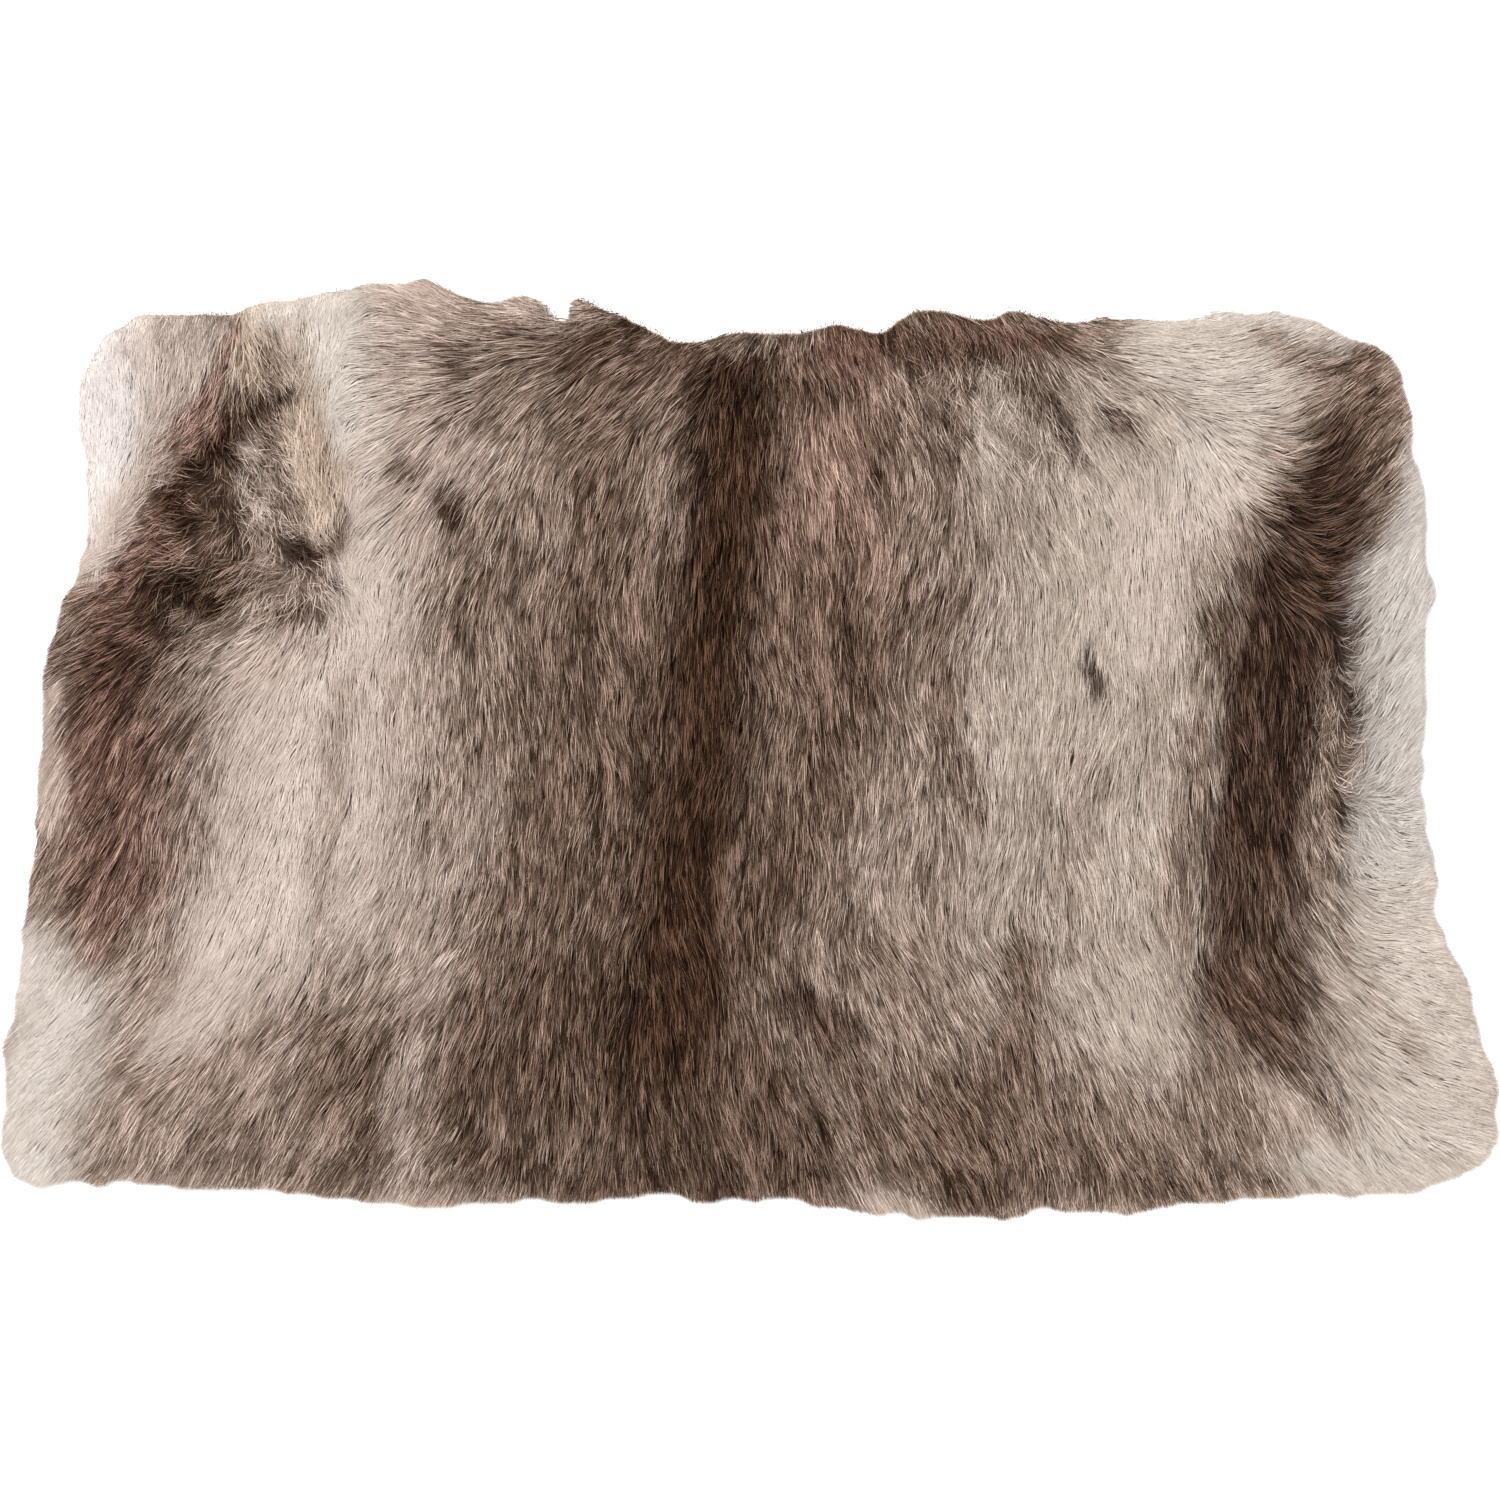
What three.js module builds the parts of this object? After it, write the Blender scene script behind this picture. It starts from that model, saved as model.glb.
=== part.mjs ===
// A trimmed reindeer hide with its winter coat, lying flat as a seat pad.
// Millimetres, +Z up. The flesh side lies on z = 0, and the hair runs from the neck end (+Y) to the tail end.
import * as THREE from 'three';

// Overall size with the fur, from tip to tip
const WIDTH = 650;
const DEPTH = 408;

// Heights above the surface that the hide lies on
const PILE_HEIGHT = 18.5;
const RIM_HEIGHT = 6;
const LOCK_TIP_HEIGHT = 1.4;

// How far in from each edge the coat takes to reach its full height
const NECK_ROLL = 22;
const FLANK_ROLL = 40;
const TAIL_ROLL = 46;

// Sections of the coat: columns run from flank to flank, rows from tail to neck
const COLUMNS = 72;
const ROWS = 44;

// Locks at the rim, one for each section along an edge
const LOCK_REACH = 8;
const NECK_LOCK_REACH = 5;
const LOCK_REACH_SPREAD = 0.4;
const LOCK_TIP_SPREAD = 0.2;
const LOCK_TIP_LEAST = 0.5;
const LOCK_LEAN = 3;
const LOCK_WAIST = 0.55;
const LOCK_WAIST_WIDTH = 0.6;

// Locks that overlap like shingles over the top of the coat
const SHINGLE_COLUMNS = 2;
const SHINGLE_ROWS = 5;
const SHINGLE_RISE = 4.6;
const SHINGLE_ROOT_SHARE = 0.3;
const SHINGLE_LEAST = 0.5;
const SHINGLE_SINK = 0.5;

// Frequencies and height of the wave that the uneven numbers come from
const SCATTER = { first: 12.9898, second: 78.233, height: 43758.5453 };

const COAT_COLOUR = 0x8d7a6c;
const COAT_ROUGHNESS = 0.95;

// Crests and hollows of the fur's edge, seen from above, each edge from corner to corner
const NECK_EDGE = [
  { x: -287, y: 177 }, { x: -272, y: 190 }, { x: -237, y: 191 }, { x: -198, y: 198 }, { x: -143, y: 204 },
  { x: -109, y: 194 }, { x: -96, y: 200 }, { x: -82, y: 193 }, { x: -74, y: 198 }, { x: -48, y: 188 },
  { x: -27, y: 177 }, { x: -10, y: 184 }, { x: 14, y: 183 }, { x: 43, y: 187 }, { x: 57, y: 181 },
  { x: 68, y: 193 }, { x: 85, y: 192 }, { x: 104, y: 189 }, { x: 115, y: 195 }, { x: 138, y: 186 },
  { x: 159, y: 189 }, { x: 180, y: 186 }, { x: 206, y: 191 }, { x: 236, y: 189 }, { x: 258, y: 182 },
  { x: 283, y: 171 },
];
const RIGHT_FLANK = [
  { x: 283, y: 171 }, { x: 286, y: 150 }, { x: 288, y: 131 }, { x: 295, y: 106 }, { x: 291, y: 89 },
  { x: 297, y: 67 }, { x: 291, y: 44 }, { x: 294, y: 10 }, { x: 291, y: -4 }, { x: 297, y: -55 },
  { x: 295, y: -71 }, { x: 307, y: -86 }, { x: 315, y: -108 }, { x: 317, y: -123 }, { x: 325, y: -159 },
  { x: 319, y: -181 },
];
const TAIL_EDGE = [
  { x: -323, y: -184 }, { x: -310, y: -190 }, { x: -285, y: -189 }, { x: -244, y: -191 },
  { x: -217, y: -189 }, { x: -182, y: -195 }, { x: -163, y: -197 }, { x: -122, y: -198 },
  { x: -89, y: -196 }, { x: -54, y: -196 }, { x: -39, y: -192 }, { x: -19, y: -198 },
  { x: 12, y: -194 }, { x: 42, y: -201 }, { x: 85, y: -203 }, { x: 110, y: -204 },
  { x: 130, y: -200 }, { x: 166, y: -201 }, { x: 205, y: -196 }, { x: 276, y: -193 },
  { x: 302, y: -190 }, { x: 319, y: -181 },
];
const LEFT_FLANK = [
  { x: -287, y: 177 }, { x: -292, y: 157 }, { x: -290, y: 128 }, { x: -289, y: 96 }, { x: -292, y: 82 },
  { x: -303, y: 58 }, { x: -307, y: 37 }, { x: -309, y: 10 }, { x: -311, y: -24 }, { x: -312, y: -44 },
  { x: -320, y: -95 }, { x: -320, y: -112 }, { x: -324, y: -127 }, { x: -325, y: -159 },
  { x: -325, y: -172 }, { x: -323, y: -184 },
];

// Swells (rise above 0) and creases or partings (rise below 0) of the coat, each along a straight stretch
const FOLDS = [
  { name: 'left whorl swell', x0: -205, y0: 140, x1: -198, y1: 72, width: 24, rise: 5 },
  { name: 'left whorl crease, upper', x0: -208, y0: 168, x1: -240, y1: 118, width: 9, rise: -7 },
  { name: 'left whorl crease, lower', x0: -240, y0: 118, x1: -250, y1: 62, width: 9, rise: -7 },
  { name: 'left elbow crease', x0: -250, y0: 62, x1: -180, y1: 52, width: 10, rise: -4 },
  { name: 'left flank swell', x0: -268, y0: 20, x1: -285, y1: -70, width: 30, rise: 3 },
  { name: 'left shoulder swell', x0: -150, y0: 130, x1: -158, y1: 20, width: 30, rise: 3 },
  { name: 'spine hollow', x0: -6, y0: 160, x1: -22, y1: -80, width: 26, rise: -2.5 },
  { name: 'right shoulder swell', x0: 175, y0: 120, x1: 170, y1: -20, width: 34, rise: 3 },
  { name: 'right parting, upper', x0: 244, y0: 132, x1: 257, y1: 78, width: 9, rise: -6 },
  { name: 'right parting, lower', x0: 257, y0: 78, x1: 259, y1: -40, width: 9, rise: -6 },
  { name: 'right whorl swell', x0: 258, y0: 16, x1: 258, y1: 6, width: 9, rise: 6 },
  { name: 'rump swell', x0: -60, y0: -135, x1: 130, y1: -140, width: 42, rise: 3 },
];

// A fixed, uneven number from 0 to 1 for each pair of whole numbers
function scatter(first, second) {
  const wave = Math.sin(first * SCATTER.first + second * SCATTER.second) * SCATTER.height;
  return wave - Math.floor(wave);
}

// The same from -1 to 1
function sway(first, second) {
  return 2 * scatter(first, second) - 1;
}

// Evenly spaced points along the smooth curve through an edge's crests and hollows
function edgePoints(rows, sections) {
  const stations = rows.map(({ x, y }) => new THREE.Vector3(x, y, 0));
  const curve = new THREE.CatmullRomCurve3(stations, false, 'centripetal');
  return curve.getSpacedPoints(sections).map(({ x, y }) => new THREE.Vector2(x, y));
}

// The fur's edge as one loop, anticlockwise from the left tail corner, with each point's edge
function tipLoop() {
  const edges = [
    { name: 'tail', points: edgePoints(TAIL_EDGE, COLUMNS) },
    { name: 'right', points: edgePoints(RIGHT_FLANK, ROWS).reverse() },
    { name: 'neck', points: edgePoints(NECK_EDGE, COLUMNS).reverse() },
    { name: 'left', points: edgePoints(LEFT_FLANK, ROWS) },
  ];
  return edges.flatMap(({ name, points }) => points.slice(0, -1).map((point) => ({ edge: name, point })));
}

// Unit vector pointing out of the loop at a point
function outwardAt(loop, index) {
  const before = loop.at(index - 1).point;
  const after = loop[(index + 1) % loop.length].point;
  return new THREE.Vector2(after.y - before.y, before.x - after.x).normalize();
}

// How far the locks stand out from their roots on an edge
function lockReach(edge) {
  return edge === 'neck' ? NECK_LOCK_REACH : LOCK_REACH;
}

// Root line of the rim's locks: the tip loop drawn in by each lock's own reach
function rootLoop(tips) {
  return tips.map(({ edge, point }, index) => {
    const reach = lockReach(edge) * (1 + LOCK_REACH_SPREAD * sway(index, 1));
    return point.clone().addScaledVector(outwardAt(tips, index), -reach);
  });
}

// The coat's sections in plan: a patch blended from the four stretches of the root line
function coatPlan(roots) {
  const corner = [0, COLUMNS, COLUMNS + ROWS, 2 * COLUMNS + ROWS];
  const tail = (i) => roots[i];
  const right = (j) => roots[corner[1] + j];
  const neck = (i) => roots[corner[3] - i];
  const left = (j) => roots[(roots.length - j) % roots.length];
  const plan = [];
  for (let j = 0; j <= ROWS; j += 1) {
    for (let i = 0; i <= COLUMNS; i += 1) {
      const u = i / COLUMNS;
      const v = j / ROWS;
      const point = new THREE.Vector2()
        .addScaledVector(tail(i), 1 - v).addScaledVector(neck(i), v)
        .addScaledVector(left(j), 1 - u).addScaledVector(right(j), u)
        .addScaledVector(roots[corner[0]], -(1 - u) * (1 - v)).addScaledVector(roots[corner[1]], -u * (1 - v))
        .addScaledVector(roots[corner[2]], -u * v).addScaledVector(roots[corner[3]], -(1 - u) * v);
      plan.push(point);
    }
  }
  return plan;
}

// Quarter-round rise from 0 at the edge to 1 at the end of the roll
function roll(distance, length) {
  const short = 1 - Math.min(distance / length, 1);
  return Math.sqrt(1 - short * short);
}

// Height that the swells and creases add at a point
function foldRise(point) {
  return FOLDS.reduce((total, { x0, y0, x1, y1, width, rise }) => {
    const along = new THREE.Vector2(x1 - x0, y1 - y0);
    const fromStart = new THREE.Vector2(point.x - x0, point.y - y0);
    const share = THREE.MathUtils.clamp(fromStart.dot(along) / along.lengthSq(), 0, 1);
    const offset = fromStart.addScaledVector(along, -share).length() / width;
    return total + rise * Math.exp(-offset * offset);
  }, 0);
}

// Height that the overlapping locks add: each is a ridge that thickens from its root to its tip
function shingleRise(i, j) {
  const column = Math.floor(i / SHINGLE_COLUMNS);
  const start = Math.floor(SHINGLE_ROWS * scatter(column, 2));
  const fromNeck = ROWS - j + start;
  const row = Math.floor(fromNeck / SHINGLE_ROWS);
  const share = (fromNeck % SHINGLE_ROWS) / (SHINGLE_ROWS - 1);
  const ridge = i % SHINGLE_COLUMNS === 1 ? 1 : 0;
  const thickness = SHINGLE_ROOT_SHARE + (1 - SHINGLE_ROOT_SHARE) * share;
  const fullness = SHINGLE_LEAST + scatter(column, row + 3);
  return SHINGLE_RISE * (ridge * thickness * fullness - SHINGLE_SINK);
}

// Height of the coat's top at one place in the plan
function coatHeight(plan, i, j) {
  const at = (column, row) => plan[row * (COLUMNS + 1) + column];
  const point = at(i, j);
  const flank = Math.min(point.distanceTo(at(0, j)), point.distanceTo(at(COLUMNS, j)));
  const share = roll(flank, FLANK_ROLL)
    * roll(point.distanceTo(at(i, 0)), TAIL_ROLL)
    * roll(point.distanceTo(at(i, ROWS)), NECK_ROLL);
  return RIM_HEIGHT + share * (PILE_HEIGHT - RIM_HEIGHT + foldRise(point) + shingleRise(i, j));
}

// Index of the coat's top point at each place along the root line
function rimIndices() {
  const index = (i, j) => j * (COLUMNS + 1) + i;
  const rim = [];
  for (let i = 0; i < COLUMNS; i += 1) {
    rim.push(index(i, 0));
  }
  for (let j = 0; j < ROWS; j += 1) {
    rim.push(index(COLUMNS, j));
  }
  for (let i = COLUMNS; i > 0; i -= 1) {
    rim.push(index(i, ROWS));
  }
  for (let j = ROWS; j > 0; j -= 1) {
    rim.push(index(0, j));
  }
  return rim;
}

// Tip of the lock between two neighbouring places on the rim, leaning towards the tail on the flanks
function lockTip(tips, index) {
  const { edge, point } = tips[index];
  const next = tips[(index + 1) % tips.length].point;
  const tip = point.clone().add(next).multiplyScalar(0.5);
  tip.addScaledVector(outwardAt(tips, index), lockReach(edge) * LOCK_TIP_SPREAD * sway(index, 6));
  if (edge === 'left' || edge === 'right') {
    tip.y -= LOCK_LEAN * scatter(index, 4);
  }
  return new THREE.Vector3(tip.x, tip.y, LOCK_TIP_HEIGHT * (LOCK_TIP_LEAST + scatter(index, 5)));
}

// One four-sided lock: a waist between its root on the rim and its tip
function addLock(vertices, triangles, base, tip) {
  const root = base.map((index) => vertices[index]);
  const centre = new THREE.Vector3();
  root.forEach((corner) => centre.addScaledVector(corner, 1 / root.length));
  const waist = root.map((corner) => {
    const across = corner.clone().sub(centre);
    const point = centre.clone().lerp(tip, LOCK_WAIST);
    point.addScaledVector(across, LOCK_WAIST_WIDTH);
    point.z = Math.max(point.z, 0);
    return vertices.push(point) - 1;
  });
  const tipIndex = vertices.push(tip) - 1;
  base.forEach((here, side) => {
    const next = (side + 1) % base.length;
    triangles.push([here, base[next], waist[next]], [here, waist[next], waist[side]]);
    triangles.push([waist[side], waist[next], tipIndex]);
  });
}

// Moves and stretches the plan so that its box is the stated width and depth about the origin
function fitToSize(geometry) {
  geometry.computeBoundingBox();
  const centre = geometry.boundingBox.getCenter(new THREE.Vector3());
  const size = geometry.boundingBox.getSize(new THREE.Vector3());
  geometry.translate(-centre.x, -centre.y, 0);
  geometry.scale(WIDTH / size.x, DEPTH / size.y, 1);
}

// The whole hide as one closed body: coat, rim locks and flat flesh side
function hideGeometry() {
  const tips = tipLoop();
  const roots = rootLoop(tips);
  const plan = coatPlan(roots);
  const vertices = [];
  const triangles = [];
  for (let j = 0; j <= ROWS; j += 1) {
    for (let i = 0; i <= COLUMNS; i += 1) {
      const point = plan[j * (COLUMNS + 1) + i];
      vertices.push(new THREE.Vector3(point.x, point.y, coatHeight(plan, i, j)));
    }
  }
  for (let j = 0; j < ROWS; j += 1) {
    for (let i = 0; i < COLUMNS; i += 1) {
      const here = j * (COLUMNS + 1) + i;
      const above = here + COLUMNS + 1;
      triangles.push([here, here + 1, above + 1], [here, above + 1, above]);
    }
  }
  const rim = rimIndices();
  const foot = roots.map((point) => vertices.push(new THREE.Vector3(point.x, point.y, 0)) - 1);
  rim.forEach((top, index) => {
    const next = (index + 1) % rim.length;
    addLock(vertices, triangles, [top, foot[index], foot[next], rim[next]], lockTip(tips, index));
  });
  THREE.ShapeUtils.triangulateShape(roots, []).forEach(([a, b, c]) => {
    triangles.push([foot[a], foot[c], foot[b]]);
  });
  const geometry = new THREE.BufferGeometry().setFromPoints(vertices);
  geometry.setIndex(triangles.flat());
  fitToSize(geometry);
  geometry.computeVertexNormals();
  return geometry;
}

const coat = new THREE.MeshStandardMaterial({ color: COAT_COLOUR, roughness: COAT_ROUGHNESS, metalness: 0 });
const hide = new THREE.Mesh(hideGeometry(), coat);
hide.name = 'hide';

const seatPad = new THREE.Group();
seatPad.add(hide);

export default seatPad;
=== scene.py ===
"""Looks of a reindeer skin seat pad: a tanned skin, its woolly under coat and its combed guard hair.

The pad lies flat on the floor, neck end towards +Y, and is seen from straight above. Tables are in
millimetres in the frame's own axes. The coat's outer form comes from the frame's solid of the hide.
"""

import math

import bpy
import numpy as np
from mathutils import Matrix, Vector
from mathutils.bvhtree import BVHTree
from mathutils.geometry import delaunay_2d_cdt
from mathutils.kdtree import KDTree


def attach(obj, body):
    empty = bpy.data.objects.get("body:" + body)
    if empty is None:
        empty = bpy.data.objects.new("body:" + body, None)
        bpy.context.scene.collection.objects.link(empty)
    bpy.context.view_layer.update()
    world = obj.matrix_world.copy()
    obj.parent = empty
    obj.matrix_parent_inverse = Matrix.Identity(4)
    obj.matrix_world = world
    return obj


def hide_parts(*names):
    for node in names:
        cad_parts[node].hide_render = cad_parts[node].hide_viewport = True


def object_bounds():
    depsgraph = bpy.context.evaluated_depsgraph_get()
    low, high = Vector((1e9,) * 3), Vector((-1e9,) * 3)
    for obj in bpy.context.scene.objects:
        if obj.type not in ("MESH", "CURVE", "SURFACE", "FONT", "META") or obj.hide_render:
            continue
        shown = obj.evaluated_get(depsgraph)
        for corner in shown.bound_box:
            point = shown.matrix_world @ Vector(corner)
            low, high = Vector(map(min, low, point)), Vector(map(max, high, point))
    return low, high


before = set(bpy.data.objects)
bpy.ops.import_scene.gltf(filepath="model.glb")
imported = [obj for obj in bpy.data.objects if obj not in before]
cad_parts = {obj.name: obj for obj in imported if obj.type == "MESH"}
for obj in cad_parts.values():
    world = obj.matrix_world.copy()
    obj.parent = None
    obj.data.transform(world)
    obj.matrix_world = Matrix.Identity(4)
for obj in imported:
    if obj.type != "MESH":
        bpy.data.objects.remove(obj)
cad_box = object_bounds()

MM = 0.001
SEED = 1187
rng = np.random.default_rng(SEED)

# Photograph's frame on the floor, and the camera above it
PICTURE_WIDTH = 651.7
CAMERA_HEIGHT = 3200.0
SENSOR_WIDTH = 36.0
SHARP_HEIGHT = 9.0

# Studio: half width and drop of the floor, strength of the sky, and the lights' places, sizes and powers
FLOOR_HALF = 4000.0
FLOOR_DROP = 0.6
FLOOR_TONE = (0.86, 0.86, 0.86, 1)
SKY_STRENGTH = 1.10
LIGHTS = {
    "key": ((-700, 1100, 2100), 1300, 60),
    "fill": ((1500, -600, 1600), 1600, 18),
}

# Plan of the hide on which height, comb and colour are worked out
PLAN_STEP = 2.0
PLAN_MARGIN = 12.0
RAY_HEIGHT = 100.0
LOCK_GAP = 6.0
RELIEF_SOFTNESS = 5.0
RIM_SOFTNESS = 2.0
TINY = 1e-6

# Skin and under coat
SKIN_THICKNESS = 1.6
SKIN_SPACING = 14.0
SKIN_INSET = 6.0
SKIN_RUN_OUT = (-0.2, 0.3)
NECK_SKIN_INSET = 1.6
FLAT_HEIGHT = 0.01
GRID_SHIFT = 0.25
GRID_GAP = 0.6
WOOL_SHARE = 0.55
WOOL_SPACING = 6.0
WOOL_TAPER = 12.0
WOOL_INSET = 0.6
WOOL_BOTTOM = 0.1
WOOL_LEAST = 0.4

# Under coat's share of the coat's tone, by the tone's lightness: its darkening is painted shade deep
# between the hairs
WOOL_LIGHTNESS = (0.05, 0.25, 0.6)
WOOL_TONE_SHARES = (0.35, 0.55, 0.97)

# Guard hair all over the hide: places in mm, turns in degrees, and shares of the coat's height
HAIR_COUNT = 300000
HAIR_REACH = 16.0
REACH_RANGE = (0.75, 1.25)
REACH_BY_LOCK = 0.08
UPRIGHT_SHORTENING = 0.6
HAIR_RADIUS = 0.20
RADIUS_RANGE = (0.7, 1.2)
TANGLE_FINENESS = 0.3
HAIR_ROLL = 45.0
HAIR_TURN = 4.0
TANGLE_TURN = 28.0
CLUMP_TANGLE = 4.0
HAIR_TANGLE = 2.5
ROOT_SHARE = 0.42
BEND_SHARE = 0.86
BEND_PLACE = 0.45
TIP_SHARE = 0.98
EDGE_INSET = 0.8
ROOT_INSET = 5.0
ROOT_RUN_OUT = (-0.1, 0.5)
ROOT_SHIFT = 0.6
LOWEST_TIP = 0.9
EDGE_RANGE = 6.0
EDGE_RISE = 1.0
LIFTS = {"lock": 0.5, "wisp": 0.6, "hair": 0.4, "upright": 2.0}
BEND_LIFT = 0.6
BEND_PULL = 0.6
CLUMP_SHIFT = 0.42
LOCK_SPACING = 5.5
LOCK_PULL = 0.30
LOCK_SAG = 1.2
WISP_SPACING = 1.4
WISP_PULL = 0.55
TRIM_STEPS = 8
TRIM_SLACK = (0.2, 0.5)
LEAST_LENGTH = 0.05

# Hair that runs out over the edge
RIM_HAIR_COUNT = 30000
RIM_ROOTS = (2.0, 15.0)
RIM_OUTFLOW = 0.1
RIM_REACH = 30.0
RIM_TURN = 7.0
RIM_BEND_SHARE = 0.7
RIM_BEND_SPREAD = 0.3
RIM_TIP_RANGE = 4.0
RIM_TIP_RISE = 1.6

# Short hair along the edges from which the coat runs inwards, some of it leaning out
NECK_HAIR_COUNT = 30000
NECK_ROOTS = (0.3, 5.0)
NECK_OUTFLOW = 0.15
NECK_REACH = (6, 15)
NECK_TURN = 12.0
NECK_LEANING = 0.2
NECK_LEAN_TURN = 35.0
NECK_LEAN_REACH = (0.8, 2.2)
NECK_SLACK = (0.3, 0.4)
NECK_ROOT_SHARE = 0.8
NECK_BEND_SHARE = 0.75
NECK_LEAST_BEND = 0.8
NECK_BEND_RISE = 0.6
NECK_TIP_RISE = 1.2
# How far the roots' darkening, painted shade included, is lifted near these edges, and over what range
NECK_ROOT_LIGHT = 0.85
NECK_LIGHT_RANGE = (5.0, 15.0)
NECK_LIGHT_RUN_OUT = (-0.1, 0.3)

# Slow unevenness: streaks of shade, lumps of height, and how far markings wander, fray and scatter
STREAKS = {"count": 5200, "length": 36, "spread": 2.2}
LUMPS = {"count": 1800, "length": 30, "spread": 4.5}
STREAK_RANGE = (0.5, 1.5)
LUMP_SHARE = 0.06
MARK_WANDER = 2.0
WANDER_SPREAD = 7.0
MARK_FINGERS = 2.0
MARK_SCATTER = 0.8

# How hair changes with the lightness of its tone: lightness in linear light, spread of shade between
# neighbours, and shares of its tone at root, bend and tip
# The dark root share is partly the hair's own banding and partly painted shade deep in the coat
HAIR_LIFE = (
    (0.03, 1.42, 0.20, 0.63, 2.02),
    (0.12, 1.10, 0.22, 0.62, 1.72),
    (0.25, 0.80, 0.34, 0.69, 1.31),
    (0.45, 0.22, 0.70, 0.81, 0.94),
    (0.65, 0.06, 0.88, 0.90, 0.93),
)

# How far red, green and blue follow a change of shade: pale hairs are greyer, dark hairs and the painted
# shade of dark roots and under coat are warmer
SHADE_BY_CHANNEL = (0.91, 1.00, 1.09)
SHADE_SHARES = {"streak": 0.22, "wisp": 0.80, "hair": 0.60, "tangle": 0.55}
SHADE_LIMITS = (-2.2, 1.3)
TANGLE_CONTRAST = 0.4
TANGLE_WISP_LOSS = 0.7
TANGLE_HAIR_GAIN = 0.6
LIGHTEST = 0.97

# Pale hair lies smoother: range of lightness over which it does, and how much of its unevenness it loses
PALE_RANGE = (0.30, 0.60)
PALE_SMOOTHNESS = 0.75

PIECE_NAMES = ("fur_left_flank", "fur_left_saddle", "fur_spine", "fur_right_saddle", "fur_right_flank")

# Tones of the coat, as sRGB from 0 to 255
TONES = {
    "taupe": (150, 129, 115),
    "spine brown": (72, 49, 35),
    "dark brown": (77, 56, 45),
    "flank brown": (97, 73, 59),
    "rump brown": (98, 75, 61),
    "mid brown": (117, 94, 79),
    "rust brown": (110, 81, 67),
    "russet": (127, 98, 84),
    "pale russet": (140, 111, 97),
    "thigh tan": (174, 153, 140),
    "saddle brown": (115, 92, 77),
    "tan": (156, 127, 111),
    "fawn": (158, 137, 123),
    "sand": (198, 179, 168),
    "straw": (192, 172, 154),
    "grey cream": (190, 176, 164),
    "cream": (204, 189, 179),
    "blush": (226, 214, 207),
    "warm cream": (201, 190, 180),
    "soft white": (209, 200, 192),
    "white": (216, 208, 204),
    "belly white": (197, 190, 184),
    "elbow brown": (98, 71, 59),
}
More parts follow.
